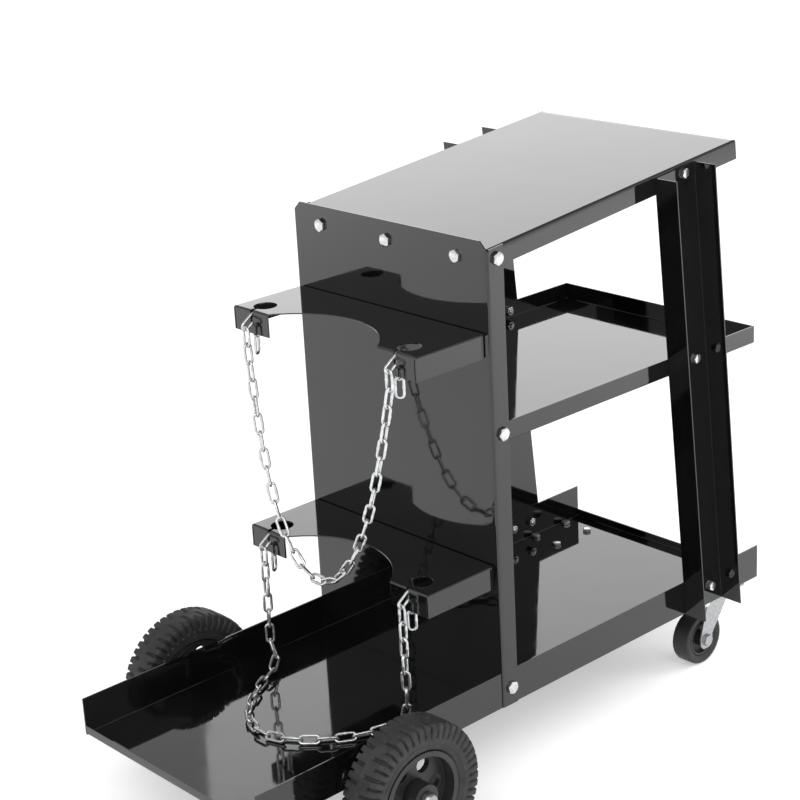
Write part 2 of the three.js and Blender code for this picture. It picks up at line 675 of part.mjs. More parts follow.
function upperChain() {
  const top = FLOOR_Z + UPPER_BRACKET_RISE;
  const ends = SIDES.map((side) => chainEnd(side, top));
  const [from, to] = ends.map(({ hinge }) => firstPoint(hinge));
  const points = swung(hangingPoints(from, to, HANGING_LINKS), ends[0].hinge, CHAIN_SWING);
  const halfTurn = (t) => (Math.PI / 4) * Math.sin(Math.PI * t);
  SIDES.forEach(([side], i) => add(`upper_chain_${side}_end`, ends[i].solid, 'zinc'));
  add('upper_chain', joined(links(points, () => Y_AXIS.clone(), halfTurn, 1)), 'zinc');
}

// A route down each strand and across the floor, bowed away from the panel by a bulge.
function floorRoute(from, to, floor, bulge) {
  const bow = Array.from({ length: FLOOR_POINTS }, (_, k) => {
    const t = (k + 1) / (FLOOR_POINTS + 1);
    const x = THREE.MathUtils.lerp(from.x + FLOOR_TURN / 2, to.x - FLOOR_TURN / 2, t);
    return new THREE.Vector3(x, from.y - bulge * Math.sin(Math.PI * t) ** FLOOR_FULLNESS, floor);
  });
  const strand = (p, inward) => [
    p,
    p.clone().setZ((p.z + floor) / 2),
    p.clone().setZ(floor + FLOOR_TURN),
    new THREE.Vector3(p.x + inward * FLOOR_TOUCH, p.y, floor + FLOOR_TOUCH),
  ];
  const route = [...strand(from, 1), ...bow, ...strand(to, -1).reverse()];
  return new THREE.CatmullRomCurve3(route, false, 'centripetal');
}

// Steps of one pitch along a curve from its start, until it ends.
function paced(curve) {
  const fine = curve.getPoints(ROUTE_STEPS);
  const points = [fine[0]];
  fine.forEach((p) => {
    const last = points.at(-1);
    const away = p.clone().sub(last);
    if (away.length() >= LINK_PITCH) points.push(away.setLength(LINK_PITCH).add(last));
  });
  return points;
}

function lowerChain() {
  const top = FLOOR_Z + LOWER_BRACKET_RISE;
  const ends = SIDES.map((side) => chainEnd(side, top));
  const [from, to] = ends.map(({ hinge }) => firstPoint(hinge));
  const floor = FLOOR_Z + RUNNING + (LINK_BOW / Math.SQRT2) + CHAIN_WIRE / 2;
  const least = floorRoute(from, to, floor, 0).getLength() / LINK_PITCH;
  const count = 2 * Math.ceil((least + FLOOR_SLACK) / 2) + 1; // odd, so both ends join alike
  const shortfall = (bulge) => {
    const points = paced(floorRoute(from, to, floor, bulge));
    return (count - (points.length - 1)) * LINK_PITCH - points.at(-1).distanceTo(to);
  };
  const bulge = halved((value) => shortfall(value) > 0, to.x - from.x);
  const points = paced(floorRoute(from, to, floor, bulge)).slice(0, count + 1);
  const halfTurn = (t) => (Math.PI / 4) * Math.min(1, Math.min(t, 1 - t) / TWIST_SHARE);
  const normal = (along) => (Math.abs(along.z) > Math.SQRT1_2 ? Y_AXIS.clone() : Z_AXIS.clone());
  SIDES.forEach(([side], i) => add(`lower_chain_${side}_end`, ends[i].solid, 'zinc'));
  add('lower_chain', joined(links(points, normal, halfTurn, 1)), 'zinc');
}

upperChain();
lowerChain();

// Rear axle, its brackets and caps

const tyreOuter = WHEEL_TRACK / 2 + TYRE_WIDTH / 2;
const hubOuter = tyreOuter + HUB_OVERHANG;
const axleEnd = hubOuter + RUNNING + AXLE_STUB;

function axlePoint(x) {
  return new THREE.Vector3(x, AXLE_Y, AXLE_Z);
}

add('rear_axle', bar(axlePoint(-axleEnd), axlePoint(axleEnd), AXLE_DIAMETER / 2), 'zinc');

const axleHole = bar(axlePoint(-axleEnd), axlePoint(axleEnd), AXLE_DIAMETER / 2 + RUNNING);

function axleBracket(sign) {
  const half = AXLE_BRACKET_LENGTH / 2;
  const top = FLOOR_UNDER - FIT;
  const foot = AXLE_Z - AXLE_BRACKET_DROP;
  const leg = prismX(rounded([
    [AXLE_Y - half, top], [AXLE_Y - half, AXLE_Z],
    [AXLE_Y - half / 2, foot, AXLE_BRACKET_DROP / 2], [AXLE_Y + half / 2, foot, AXLE_BRACKET_DROP / 2],
    [AXLE_Y + half, AXLE_Z], [AXLE_Y + half, top],
  ]), sign * (TIER_HALF - AXLE_BRACKET_SHEET), sign * TIER_HALF);
  const foothold = box(
    [sign * (TIER_HALF - AXLE_BRACKET_LEG), sign * TIER_HALF],
    [AXLE_Y - half, AXLE_Y + half],
    [top - AXLE_BRACKET_SHEET, top],
  );
  return leg.add(foothold).subtract(axleHole);
}

function axleCap(sign) {
  const bore = AXLE_DIAMETER / 2 + RUNNING;
  const outer = bore + CAP_WALL;
  const length = AXLE_STUB + RUNNING + CAP_WALL;
  const profile = [
    [bore, 0], [outer, 0], [outer, CAP_SKIRT], [CAP_CROWN.radius, CAP_CROWN.height], [0, length],
    [0, AXLE_STUB + RUNNING], [bore, AXLE_STUB + RUNNING], [bore, 0],
  ];
  const cap = turnedX(profile, 0, 0, 0, ROUND_STEPS);
  const turn = new THREE.Matrix4().makeRotationZ(sign > 0 ? 0 : Math.PI);
  turn.setPosition(sign * (hubOuter + RUNNING), AXLE_Y, AXLE_Z);
  return moved(cap, turn);
}

// Rear wheels

function tyreProfile({ diameter, width, wall, shoulder, bulge, beadInset }) {
  const radius = diameter / 2;
  const half = width / 2;
  const bead = half - beadInset;
  return rounded([
    [radius - wall, -bead], [radius - bulge, -half, shoulder / 2], [radius, -half, shoulder],
    [radius, half, shoulder], [radius - bulge, half, shoulder / 2], [radius - wall, bead],
    [radius - wall, -bead],
  ], SHOULDER_STEPS);
}

function wheelHub(sign) {
  const rim = WHEEL_DIAMETER / 2 - TYRE_WALL - RUNNING;
  const rimHalf = RIM_WIDTH / 2;
  const boss = HUB_DIAMETER / 2;
  const bore = AXLE_DIAMETER / 2 + RUNNING;
  const middle = sign * (WHEEL_TRACK / 2);
  const inner = TIER_HALF + 2 * FIT - WHEEL_TRACK / 2;
  const outer = hubOuter - WHEEL_TRACK / 2;
  const web = WHEEL_WEB / 2;
  const profile = [
    [bore, inner], [boss, inner], [boss, -web], [rim - RIM_WALL, -web], [rim - RIM_WALL, -rimHalf],
    [rim, -rimHalf], [rim, rimHalf], [rim - RIM_WALL, rimHalf], [rim - RIM_WALL, web], [boss, web],
    [boss, outer], [bore, outer], [bore, inner],
  ];
  const turn = new THREE.Matrix4().makeRotationZ(sign > 0 ? 0 : Math.PI);
  turn.setPosition(middle, AXLE_Y, AXLE_Z);
  const disc = moved(turnedX(profile, 0, 0, 0, TYRE_STEPS), turn);
  const circle = (boss + rim - RIM_WALL) / 2;
  const windows = Array.from({ length: WEB_HOLES }, (_, k) => {
    const angle = (2 * Math.PI * k) / WEB_HOLES;
    const spoke = new THREE.Vector3(0, Math.cos(angle), Math.sin(angle)).multiplyScalar(circle);
    const centre = axlePoint(middle).add(spoke);
    const reach = X_AXIS.clone().multiplyScalar(WHEEL_WEB);
    return bar(centre.clone().sub(reach), centre.clone().add(reach), WEB_HOLE_DIAMETER / 2, WINDOW_STEPS);
  });
  return disc.subtract(joined(windows));
}

for (const [side, sign] of SIDES) {
  const profile = tyreProfile({
    diameter: WHEEL_DIAMETER,
    width: TYRE_WIDTH,
    wall: TYRE_WALL,
    shoulder: TYRE_SHOULDER,
    bulge: TYRE_BULGE,
    beadInset: TYRE_BEAD_INSET,
  });
  const tyre = turnedX(profile, sign * (WHEEL_TRACK / 2), AXLE_Y, AXLE_Z, TYRE_STEPS);
  add(`${side}_rear_tyre`, tyre, 'rubber');
  add(`${side}_rear_hub`, wheelHub(sign), 'plastic');
  add(`${side}_axle_bracket`, axleBracket(sign), 'paint');
  add(`${side}_axle_cap`, axleCap(sign), 'zinc');
}

// Front casters

const plateUnder = CASTER_TOP - CASTER_PLATE.thickness;
const forkTop = plateUnder - RACE_HEIGHT - RUNNING;
const forkInner = CASTER_WHEEL_WIDTH / 2 + CASTER_SIDE_GAP;
const forkHalf = forkInner + FORK_SHEET;
const casterWheelY = CASTER_Y - CASTER_TRAIL;

// The plate, the fixed race under it and the riveted king pin, as one riveted unit.
function casterPlate(x) {
  const up = (z) => new THREE.Vector3(x, CASTER_Y, z);
  const forkUnder = forkTop - FORK_SHEET - RUNNING;
  const halfX = CASTER_PLATE.x / 2;
  const halfY = CASTER_PLATE.y / 2;
  return joined([
    box([x - halfX, x + halfX], [CASTER_Y - halfY, CASTER_Y + halfY], [plateUnder, CASTER_TOP]),
    bar(up(plateUnder - RACE_HEIGHT), up(plateUnder + OVERCUT), RACE_DIAMETER / 2),
    bar(up(forkUnder - KING_PIN_HEAD.height), up(plateUnder), KING_PIN_DIAMETER / 2),
    bar(up(forkUnder - KING_PIN_HEAD.height), up(forkUnder), KING_PIN_HEAD.diameter / 2),
  ]);
}

function casterFork(x) {
  const legs = channel(forkHalf, forkTop, FORK_SHEET).map(([u, v]) => [x + u, forkTop - v]);
  const head = FORK_HEAD / 2;
  const eye = [casterWheelY, CASTER_WHEEL_Z];
  const side = [
    [CASTER_Y + head, forkTop + OVERCUT], [CASTER_Y - head, forkTop + OVERCUT],
    [eye[0] - FORK_EYE, eye[1] + FORK_EYE / 2], [eye[0] - FORK_EYE, eye[1] - FORK_EYE / 2],
    [eye[0] - FORK_EYE / 2, eye[1] - FORK_EYE], [eye[0] + FORK_EYE / 2, eye[1] - FORK_EYE],
    [eye[0] + FORK_EYE, eye[1] - FORK_EYE / 2], [eye[0] + FORK_EYE, eye[1] + FORK_EYE / 2],
    [CASTER_Y + head, forkTop - FOLD],
  ];
  const blank = prismY(legs, eye[0] - FORK_EYE - OVERCUT, CASTER_Y + head);
  const pin = (z) => new THREE.Vector3(x, CASTER_Y, z);
  const pinRadius = KING_PIN_DIAMETER / 2 + RUNNING;
  const pinHole = bar(pin(forkTop - FORK_SHEET - OVERCUT), pin(forkTop + OVERCUT), pinRadius);
  const cheeks = prismX(side, x - forkHalf - OVERCUT, x + forkHalf + OVERCUT);
  return blank.intersect(cheeks).subtract(pinHole);
}

function casterHub(x) {
  const rim = CASTER_WHEEL_DIAMETER / 2 - CASTER_TYRE_WALL - RUNNING;
  const bore = M8.shank / 2 + RUNNING;
  const half = forkInner - RUNNING;
  const rimHalf = CASTER_RIM_WIDTH / 2;
  const inner = rim - CASTER_RIM_WALL;
  const boss = bore + CASTER_BOSS_WALL;
  const dish = CASTER_WEB / 2;
  const profile = [
    [bore, -half], [boss, -half], [boss, -dish], [inner, -dish], [inner, -rimHalf], [rim, -rimHalf],
    [rim, rimHalf], [inner, rimHalf], [inner, dish], [boss, dish], [boss, half], [bore, half],
    [bore, -half],
  ];
  return turnedX(profile, x, casterWheelY, CASTER_WHEEL_Z, ROUND_STEPS);
}

for (const [side, sign] of SIDES) {
  const x = sign * CASTER_X;
  const reach = forkHalf - 2 * FIT; // the riveted pin's heads bite into the fork's legs
  const seat = new THREE.Vector3(x + sign * reach, casterWheelY, CASTER_WHEEL_Z);
  const inward = X_AXIS.clone().multiplyScalar(-sign);
  const wheelPin = boltSolid({ size: M8, seat, direction: inward, grip: 2 * reach });
  const profile = tyreProfile({
    diameter: CASTER_WHEEL_DIAMETER,
    width: CASTER_WHEEL_WIDTH,
    wall: CASTER_TYRE_WALL,
    shoulder: CASTER_SHOULDER,
    bulge: CASTER_BULGE,
    beadInset: CASTER_BEAD_INSET,
  });
  add(`${side}_caster_plate`, casterPlate(x).subtract(holes), 'zinc');
  add(`${side}_caster_fork`, casterFork(x).add(wheelPin), 'zinc');
  add(`${side}_caster_tyre`, turnedX(profile, x, casterWheelY, CASTER_WHEEL_Z, TYRE_STEPS), 'rubber');
  add(`${side}_caster_hub`, casterHub(x), 'plastic');
}

// The finished cart stands on Z = 0 with its length centred on the origin.
cart.position.y = -(BASE_REAR + BASE_FRONT) / 2;

const whole = new THREE.Group();
whole.add(cart);

export default whole;
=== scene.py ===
import math

import bpy
import numpy as np
from mathutils import Matrix, Vector


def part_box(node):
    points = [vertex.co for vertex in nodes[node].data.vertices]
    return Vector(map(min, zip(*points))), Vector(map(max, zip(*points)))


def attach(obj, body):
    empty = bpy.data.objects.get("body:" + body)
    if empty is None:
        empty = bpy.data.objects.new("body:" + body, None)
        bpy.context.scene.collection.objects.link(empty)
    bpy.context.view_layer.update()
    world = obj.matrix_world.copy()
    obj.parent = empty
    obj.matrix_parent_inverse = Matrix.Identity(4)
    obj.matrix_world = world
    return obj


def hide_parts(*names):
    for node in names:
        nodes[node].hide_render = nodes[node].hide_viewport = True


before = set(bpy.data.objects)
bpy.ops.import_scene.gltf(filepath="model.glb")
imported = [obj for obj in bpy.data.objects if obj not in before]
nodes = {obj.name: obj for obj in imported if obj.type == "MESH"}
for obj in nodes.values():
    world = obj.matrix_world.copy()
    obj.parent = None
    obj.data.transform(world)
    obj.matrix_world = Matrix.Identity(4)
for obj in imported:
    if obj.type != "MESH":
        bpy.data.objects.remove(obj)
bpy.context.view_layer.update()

MM = 0.001
SIDES = (("left", -1), ("right", 1))
X_AXIS = np.array([1.0, 0.0, 0.0])
Y_AXIS = np.array([0.0, 1.0, 0.0])
Z_AXIS = np.array([0.0, 0.0, 1.0])
DOWN = -Z_AXIS

# Camera
SENSOR_WIDTH = 36.0
FOCAL_LENGTH = 87.54
CAMERA_PLACE = (1.48152, -1.37211, 1.11623)
CAMERA_PITCH = 19.542  # degrees below level
CAMERA_YAW = 48.159
CAMERA_ROLL = -3.060

# Stage
AMBIENT = 0.75
CEILING = 0.3  # what gloss shows overhead, against 1 for the white walls
WALL_TOP = 0.35  # height of a direction up to which gloss shows the walls
CEILING_EDGE = 0.8  # and from which it shows the ceiling
FLOOR_REACH = 30.0  # metres
FLOOR_COLOR = (0.82, 0.82, 0.82)
FLOOR_ROUGHNESS = 0.9
FLOOR_GLOW = 0.39
WHITE = (1, 1, 1, 1)

# Lengths in the rest of these values are millimetres, as in the CAD source.
CENTRE_SHIFT = 53.5  # the cart's middle from the back panel's rear face
FLOOR_TOP = 91.5
UPPER_BRACKET_TOP = FLOOR_TOP + 425.2
LOWER_BRACKET_TOP = FLOOR_TOP + 167.6
BRACKET_DEPTH = 97.7
SHEET = 1.5
KEYHOLE_X = 113.7

# Rounded edges of the solids that stay
MERGE_DISTANCE = 0.002
EDGE_ANGLE = 40.0  # degrees; edges that turn more than this are rounded
EDGE_SEGMENTS = 2
SHEET_EDGE = 0.22

# Bolts
HEXAGON_STEPS = 48
HEXAGON_SIDE = math.pi / 3
FACE_SHARE = 0.93  # the round flat face, of the width across flats
CHAMFER_SLOPE = math.tan(math.radians(28))
CROWN = ((0.4, 0.05), (0.75, 0.2), (1.0, 0.45))  # share of the head's face, and its depth there
HEAD_EDGE = 0.35  # the hexagon ends this far above its seat
WASHER_HEIGHT = 0.3
WASHER_SHARE = 0.97
TIP = 0.02
MOUTH_WIDTH = 0.55  # countersink of the nut's thread
MOUTH_GAP = 0.05
MOUTH_DEPTH = 0.5
THREAD_EXTRA = 0.1
THREAD_ROOT = 0.55  # below the shank's radius
THREAD_CREST = 0.03
THREAD_END = 0.7
ROOT_PLACE = 0.3  # along one thread
CREST_PLACE = 0.75
CRISP_ANGLE = 25.0  # degrees, like the turns
FIRST_TURN = 2
PANEL_TURN_STEP = 3
TURN_STEP = 23
FORWARD = (0, 1, 0)
DOWNWARD = (0, 0, -1)

# Chains
WIRE = 3.0
WIRE_STEPS = 12
LINK_LENGTH = 19.0
LINK_WIDTH = 5.5
LINK_BITE = 0.25
LINK_PLAY = 0.2  # half of what a drawn link is longer inside than the solid one
PITCH = LINK_LENGTH + LINK_BITE
BOW = (LINK_WIDTH + WIRE) / 2
BOW_STEPS = 9
STRAIGHT = (LINK_LENGTH - LINK_WIDTH) / 2 + LINK_PLAY
WELD_SWELL = 1.16
WELD_EDGE = 2.4
WELD_CROWN = 1.0
RUNNING = 0.3
HANGING_LINKS = 29
CHAIN_SWING = math.radians(4)
CHAIN_TWIST = math.radians(45)
END_SLANT = math.radians(34)
END_DROP = 9.2
END_REACH = 5.0
TAIL_SETBACK = 3.0
TAIL_TURN = {"left": math.radians(27), "right": math.radians(-45)}
FLOOR_TURN = 26.0
FLOOR_TOUCH = 8.0
FLOOR_SLACK = 4
FLOOR_POINTS = 9
FLOOR_FULLNESS = 0.7
FLOOR_TWIST_RATE = 6  # the links lie fully turned after a sixth of the chain
STEEP = math.sqrt(0.5)
ROUTE_STEPS = 1200
HALVINGS = 50

# Rear wheels
WHEEL_RADIUS = 80.0
WHEEL_TRACK = 372.0
AXLE_BEHIND_PANEL = 172.0
AXLE_Y = -AXLE_BEHIND_PANEL - CENTRE_SHIFT
AXLE_Z = WHEEL_RADIUS
TYRE_STEPS = 600
TYRE_HALF = 21.0
TYRE_BEAD = 50.0
BEAD_INSET = 4.2  # insets are measured from the tyre's widest place
LIP_HEIGHT = 2.0
LIP_INSET = 3.0
FLANK_HEIGHT = 7.0
FLANK_INSET = 1.5
WIDEST_DROP = 13.0
CROWN_DROP = 0.6
CROWN_INSET = 1.5
SECTION_STEPS = 110
SECTION_ROUNDING = 6.0
SECTION_ARC_STEPS = 6
ARC_SHARE = 0.45  # how much of a side one rounded corner may take
SHOULDER = TYRE_HALF + 12.0  # where the grooves end, along the section from the middle
TREAD_PITCHES = 25
TREAD_DEPTH = 3.6
TREAD_STAGGER = 0.5
GROOVES = ((0.0, 2.5, 3.4), (0.5, 11.5, 2.6))  # place in the pitch, inner end, width
GROOVE_SLANT = 0.05
GROOVE_WALL = 0.9
GROOVE_END = 1.2
GROOVE_FADE = 3.0
RIDGES = (6.5, 12.0)  # sidewall ridges, below the shoulder
RIDGE_HEIGHT = 0.6
RIDGE_HALF = 0.9
RIDGE_WALL = 0.6


# Materials

# The part of a noise's range that a material's variation takes up
NOISE_LOW = 0.3
NOISE_HIGH = 0.7


def new_material(name, color, roughness, metallic=0.0, ior=1.5):
    material = bpy.data.materials.new(name)
    material.use_nodes = True
    shader = material.node_tree.nodes["Principled BSDF"]
    shader.inputs["Base Color"].default_value = (*color, 1.0)
    shader.inputs["Roughness"].default_value = roughness
    shader.inputs["Metallic"].default_value = metallic
    shader.inputs["IOR"].default_value = ior
    return material, shader


def noise(material, scale, detail):
    tree = material.node_tree
    place = tree.nodes.new("ShaderNodeTexCoord")
    texture = tree.nodes.new("ShaderNodeTexNoise")
    texture.inputs["Scale"].default_value = scale
    texture.inputs["Detail"].default_value = detail
    tree.links.new(place.outputs["Object"], texture.inputs["Vector"])
    return texture.outputs["Fac"]


def remap(tree, source, start, stop, low, high):
    node = tree.nodes.new("ShaderNodeMapRange")
    for name, value in (("From Min", start), ("From Max", stop), ("To Min", low), ("To Max", high)):
        node.inputs[name].default_value = value
    tree.links.new(source, node.inputs["Value"])
    return node.outputs["Result"]


def spread(material, source, low, high):
    return remap(material.node_tree, source, NOISE_LOW, NOISE_HIGH, low, high)


def tint(material, source, dark, light):
    node = material.node_tree.nodes.new("ShaderNodeValToRGB")
    low, high = node.color_ramp.elements
    low.position, low.color = NOISE_LOW, (*dark, 1.0)
    high.position, high.color = NOISE_HIGH, (*light, 1.0)
    material.node_tree.links.new(source, node.inputs["Fac"])
    return node.outputs["Color"]


def bump(material, source, strength, distance, under=None):
    node = material.node_tree.nodes.new("ShaderNodeBump")
    node.inputs["Strength"].default_value = strength
    node.inputs["Distance"].default_value = distance
    material.node_tree.links.new(source, node.inputs["Height"])
    if under is not None:
        material.node_tree.links.new(under, node.inputs["Normal"])
    return node.outputs["Normal"]


def plug(material, shader, color, roughness, normal):
    for source, socket in ((color, "Base Color"), (roughness, "Roughness"), (normal, "Normal")):
        material.node_tree.links.new(source, shader.inputs[socket])


# Gloss paint: slightly uneven sheet, fine orange peel, faint haze
def gloss_paint():
    material, shader = new_material("gloss_black_paint", (0.0045, 0.0045, 0.0048), 0.05, ior=1.62)
    cloud = noise(material, scale=16.0, detail=5.0)
    color = tint(material, cloud, dark=(0.0035, 0.0035, 0.0038), light=(0.0055, 0.0055, 0.006))
    haze = spread(material, noise(material, scale=30.0, detail=4.0), low=0.03, high=0.075)
    waves = bump(material, noise(material, scale=11.0, detail=1.0), strength=0.5, distance=0.0004)
    grain = noise(material, scale=520.0, detail=1.0)
    peel = bump(material, grain, strength=0.5, distance=0.000004, under=waves)
    plug(material, shader, color, haze, peel)
    return material


# Plated or drawn metal with blotches of shine
def zinc(name, dark, light, smooth, rough):
    material, shader = new_material(name, light, rough, metallic=1.0)
    color = tint(material, noise(material, scale=240.0, detail=4.0), dark, light)
    shine = spread(material, noise(material, scale=420.0, detail=3.0), smooth, rough)
    grain = bump(material, noise(material, scale=1500.0, detail=2.0), strength=0.35, distance=0.00002)
    plug(material, shader, color, shine, grain)
    return material


def rubber(name, dark, light, roughness):
    material, shader = new_material(name, light, roughness)
    color = tint(material, noise(material, scale=60.0, detail=6.0), dark, light)
    patches = noise(material, scale=150.0, detail=4.0)
    sheen = spread(material, patches, low=roughness - 0.1, high=roughness + 0.12)
    grain = bump(material, noise(material, scale=1400.0, detail=3.0), strength=0.5, distance=0.00012)
    plug(material, shader, color, sheen, grain)
    return material


def moulded_plastic():
    material, shader = new_material("moulded_black_plastic", (0.016, 0.016, 0.017), 0.42)
    cloud = noise(material, scale=25.0, detail=4.0)
    color = tint(material, cloud, dark=(0.012, 0.012, 0.013), light=(0.022, 0.022, 0.023))
    sheen = spread(material, noise(material, scale=45.0, detail=3.0), low=0.34, high=0.5)
    grain = bump(material, noise(material, scale=1900.0, detail=2.0), strength=0.4, distance=0.00006)
    plug(material, shader, color, sheen, grain)
    return material


PAINT = gloss_paint()
BOLT_ZINC = zinc("bright_zinc_bolts", (0.5, 0.51, 0.53), (0.7, 0.71, 0.72), 0.14, 0.3)
# The M6 nuts and heads share the bolts' bright zinc, painted lighter: the extra lightness is painted
# light standing in for the light on their tops inside the cart.
NUT_ZINC_PAINTED_LIGHTER = zinc("bright_zinc_nuts_painted_lighter", (0.68, 0.69, 0.71), (0.9, 0.9, 0.91), 0.18, 0.34)
CHAIN_ZINC = zinc("bright_zinc_chain", (0.55, 0.56, 0.57), (0.8, 0.81, 0.82), 0.26, 0.4)
AXLE_STEEL = zinc("drawn_axle_steel", (0.36, 0.37, 0.38), (0.46, 0.47, 0.48), 0.26, 0.38)
CASTER_STEEL = zinc("plated_caster_steel", (0.36, 0.37, 0.385), (0.47, 0.48, 0.49), 0.28, 0.4)
TYRE_RUBBER = rubber("tyre_rubber", (0.013, 0.013, 0.013), (0.03, 0.03, 0.029), 0.62)
CASTER_RUBBER = rubber("caster_rubber", (0.015, 0.015, 0.015), (0.028, 0.028, 0.028), 0.5)
PLASTIC = moulded_plastic()


# Meshes

def new_mesh(name, vertices, faces, material):
    mesh = bpy.data.meshes.new(name)
    mesh.from_pydata([tuple(v) for v in vertices], [], faces)
    mesh.update()
    mesh.polygons.foreach_set("use_smooth", [True] * len(mesh.polygons))
    mesh.materials.append(material)
    return mesh


# A piece that stands for a CAD node and rides on a body
def piece(name, mesh, body, node, place=Matrix()):
    obj = bpy.data.objects.new(name, mesh)
    obj.matrix_world = place
    bpy.context.scene.collection.objects.link(obj)
    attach(obj, body)
    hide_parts(node)
    return obj


def grid_faces(rows, columns, close_rows, close_columns):
    faces = []
    for i in range(rows if close_rows else rows - 1):
        for j in range(columns if close_columns else columns - 1):
            here = i * columns
            up = ((i + 1) % rows) * columns
            right = (j + 1) % columns
            faces.append((here + j, here + right, up + right, up + j))
    return faces


def flipped(faces):
    return [face[::-1] for face in faces]


def unit(v):
    return v / np.linalg.norm(v)


# Length of a line of points from its start to each point
def running_length(points):
    return np.concatenate([[0], np.cumsum(np.linalg.norm(np.diff(points, axis=0), axis=1))])


# Solids that keep their shape get a material, rounded edges and clean shading.

def dress(node, material, width, angle=EDGE_ANGLE, segments=EDGE_SEGMENTS):
    obj = nodes[node]
    obj.data.materials.clear()
    obj.data.materials.append(material)
    obj.data.polygons.foreach_set("use_smooth", [True] * len(obj.data.polygons))
    weld = obj.modifiers.new("weld", "WELD")
    weld.merge_threshold = MERGE_DISTANCE * MM
    bevel = obj.modifiers.new("edge", "BEVEL")
    bevel.width = width * MM
    bevel.segments = segments
    bevel.limit_method = "ANGLE"
    bevel.angle_limit = math.radians(angle)
    obj.modifiers.new("normals", "WEIGHTED_NORMAL")


SHEETS = ("base_tray", "mid_tray", "top_shelf", "back_panel", "left_upright", "right_upright",
          "upper_cylinder_bracket", "lower_cylinder_bracket", "left_axle_bracket", "right_axle_bracket")
for name in SHEETS:
    dress(name, PAINT, SHEET_EDGE)
for side, _ in SIDES:
    dress(f"{side}_rear_hub", PLASTIC, width=0.8, angle=30.0, segments=3)
    dress(f"{side}_axle_cap", AXLE_STEEL, width=0.4)
    dress(f"{side}_caster_plate", CASTER_STEEL, width=0.4)
    dress(f"{side}_caster_fork", CASTER_STEEL, width=0.4)
    dress(f"{side}_caster_hub", PLASTIC, width=0.5)
    dress(f"{side}_caster_tyre", CASTER_RUBBER, width=0.5)
dress("rear_axle", AXLE_STEEL, width=0.5)


# Bolts: hexagon head with a washer face, plain shank, nut, thread end

def circle_ring(radius, z, angles):
    return np.stack([radius * np.cos(angles), radius * np.sin(angles), np.full_like(angles, z)], 1)


def hexagon_ring(flats, z, angles):
    from_flat = np.mod(angles + HEXAGON_SIDE / 2, HEXAGON_SIDE) - HEXAGON_SIDE / 2
    return circle_ring(flats / 2 / np.cos(from_flat), z, angles)


# The chamfer cone cuts the hexagon in shallow arcs.
def chamfered_ring(flats, z_face, inward, angles):
    ring = hexagon_ring(flats, 0.0, angles)
    radius = np.hypot(ring[:, 0], ring[:, 1])
    face = FACE_SHARE * flats / 2
    ring[:, 2] = z_face + inward * (radius - face) * CHAMFER_SLOPE
    return ring


def thread_rings(radius, nut_top, tail, angles):
    rings = []
    ridges = max(2, round(tail))
    for k in range(ridges):
        start = nut_top - MOUTH_DEPTH + (tail + THREAD_EXTRA) * k / ridges
        rings.append(circle_ring(radius - THREAD_ROOT, start + ROOT_PLACE * tail / ridges, angles))
        rings.append(circle_ring(radius - THREAD_CREST, start + CREST_PLACE * tail / ridges, angles))
    return rings


def bolt_mesh(name, flats, shank, head, nut, tail, material, length):
    angles = np.linspace(0, 2 * math.pi, HEXAGON_STEPS, endpoint=False)
    face = FACE_SHARE * flats / 2
    washer = WASHER_SHARE * flats / 2
    radius = shank / 2
    nut_top = length - tail
    nut_foot = nut_top - nut
    head_rim = CROWN[-1][1]
    rings = [
        circle_ring(TIP, 0.0, angles),
        *(circle_ring(share * face, depth, angles) for share, depth in CROWN),
        chamfered_ring(flats, head_rim, 1, angles),
        hexagon_ring(flats, head - HEAD_EDGE, angles),
        circle_ring(washer, head - WASHER_HEIGHT, angles),
        circle_ring(washer, head, angles),
        circle_ring(radius, head, angles),
        circle_ring(radius, nut_foot, angles),
        circle_ring(face, nut_foot, angles),
        chamfered_ring(flats, nut_foot, 1, angles),
        chamfered_ring(flats, nut_top, -1, angles),
        circle_ring(face, nut_top, angles),
        circle_ring(radius + MOUTH_WIDTH, nut_top, angles),
        circle_ring(radius + MOUTH_GAP, nut_top - MOUTH_DEPTH, angles),
        *thread_rings(radius, nut_top, tail, angles),
        circle_ring(radius - THREAD_END, length, angles),
        circle_ring(TIP, length, angles),
    ]
    faces = flipped(grid_faces(len(rings), HEXAGON_STEPS, False, True))
    return new_mesh(name, np.concatenate(rings) * MM, faces, material)


M8 = {"flats": 13.0, "shank": 8.0, "head": 4.0, "nut": 6.5, "tail": 2.5, "material": BOLT_ZINC}
# M6 fasteners take the zinc painted lighter, which is painted light.
M6 = {"flats": 10.0, "shank": 6.0, "head": 4.0, "nut": 5.0, "tail": 2.0, "material": NUT_ZINC_PAINTED_LIGHTER}
bolt_meshes = {}


# The direction is the way from head to nut.
def place_bolt(node, size, direction, turn):
    low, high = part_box(node)
    axis = int(np.argmax(np.abs(direction)))
    length = round((high[axis] - low[axis]) / MM, 2)
    key = (size["flats"], length)
    if key not in bolt_meshes:
        bolt_meshes[key] = bolt_mesh(f"bolt_m{size['shank']:.0f}_{length:.0f}", length=length, **size)
    start = (low + high) / 2
    start[axis] = low[axis] if direction[axis] > 0 else high[axis]
    aim = Vector((0, 0, 1)).rotation_difference(Vector(direction)).to_matrix().to_4x4()
    place = Matrix.Translation(start) @ aim @ Matrix.Rotation(math.radians(turn), 4, "Z")
    obj = piece(f"dressed_{node}", bolt_meshes[key], "cart", node, place)
    crisp = obj.modifiers.new("edge", "EDGE_SPLIT")
    crisp.split_angle = math.radians(CRISP_ANGLE)


